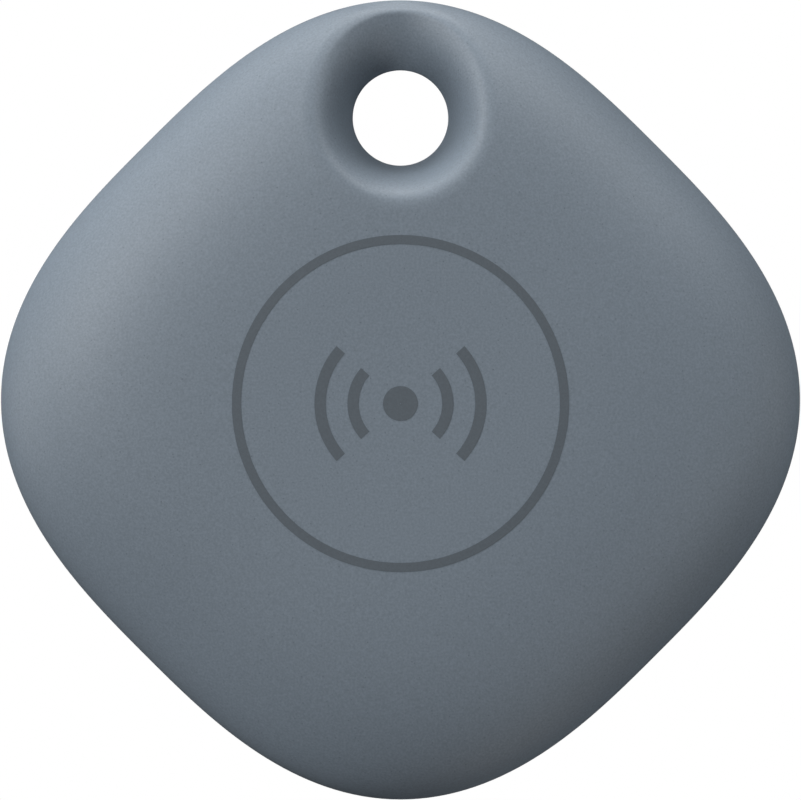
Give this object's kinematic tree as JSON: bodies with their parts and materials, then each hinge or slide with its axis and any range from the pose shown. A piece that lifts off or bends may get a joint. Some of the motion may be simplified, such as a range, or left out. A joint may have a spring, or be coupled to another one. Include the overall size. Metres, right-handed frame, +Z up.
{
  "type": "bluetooth tracker tag",
  "caption": "Rounded-diamond bluetooth tracker tag with a flared keyring hole, a press-in front with a sounder, and a snap-off back over a coin cell.",
  "frame": {"origin": "centre of the keyring hole, on the parting plane halfway through the body", "axes": "+Z up when the tag hangs from its hole, front face towards -Y, back cover towards +Y, +X to the right seen from the front"},
  "size_m": [0.039, 0.0104, 0.0391],
  "materials": {
    "cover_shell": "matte",
    "foam": "matte",
    "tray": "matte",
    "tape": "matte",
    "sounder_brass": "satin",
    "sounder_ceramic": "satin",
    "silicone": "matte",
    "gold_spring": "polished",
    "board_laminate": "satin",
    "chip_epoxy": "matte",
    "antenna_ceramic": "satin",
    "crystal_lid": "satin",
    "ferrite": "matte",
    "capacitor_body": "satin",
    "resistor_body": "satin",
    "gold_pad": "satin",
    "switch_plastic": "matte",
    "spring_steel": "satin",
    "plunger_nylon": "satin",
    "cell_steel": "satin",
    "gasket_nylon": "matte",
    "cathode_mix": "matte",
    "separator_felt": "matte",
    "lithium": "satin"
  },
  "bodies": {
    "root": {"front_cover": "cover_shell", "battery_tray": "tray", "piezo_clips": "gold_spring", "main_board": "board_laminate", "bluetooth_soc": "chip_epoxy", "uwb_radio": "chip_epoxy", "uwb_antenna": "antenna_ceramic", "flash_memory": "chip_epoxy", "piezo_driver": "chip_epoxy", "main_crystal": "crystal_lid", "clock_crystal": "crystal_lid", "boost_inductor": "ferrite", "reservoir_capacitors": "capacitor_body", "ceramic_capacitors": "capacitor_body", "resistors": "resistor_body", "chip_antenna": "antenna_ceramic", "test_pads": "gold_pad", "switch_base": "switch_plastic", "switch_terminals": "gold_pad", "switch_dome": "spring_steel", "switch_frame": "spring_steel", "positive_contact": "gold_spring", "negative_contact": "gold_spring"},
    "button": {"press_pad": "cover_shell", "piezo_tape": "tape", "piezo_plate": "sounder_brass", "piezo_ceramic": "sounder_ceramic", "presser": "silicone"},
    "plunger": {"switch_plunger": "plunger_nylon"},
    "back": {"rear_cover": "cover_shell", "snap_hooks": "cover_shell", "foam_pad": "foam"},
    "cell": {"cell_can": "cell_steel", "cell_gasket": "gasket_nylon", "cell_cap": "cell_steel", "cell_cathode": "cathode_mix", "cell_separator": "separator_felt", "cell_anode": "lithium"}
  },
  "joints": [
    {"name": "button_press", "type": "slide", "parent": "root", "child": "button", "axis": [0, 1, 0], "range_m": [0, 0.00025], "stiffness_N_per_m": 6400, "deforming": ["switch_dome", "piezo_clips"]},
    {"name": "plunger_press", "type": "slide", "parent": "root", "child": "plunger", "axis": [0, 1, 0], "range_m": [0, 0.00025]},
    {"name": "cover_removal", "type": "slide", "parent": "root", "child": "back", "axis": [0, 1, 0], "range_m": [0, 0.03], "deforming": ["snap_hooks"]},
    {"name": "cell_removal", "type": "slide", "parent": "root", "child": "cell", "axis": [0, 1, 0], "range_m": [0, 0.015]}
  ],
  "couplings": [
    {"joint": "plunger_press", "follows": "button_press", "ratio": 1},
    {"joint": "cell_removal", "follows": "cover_removal", "ratio": 0.5}
  ]
}
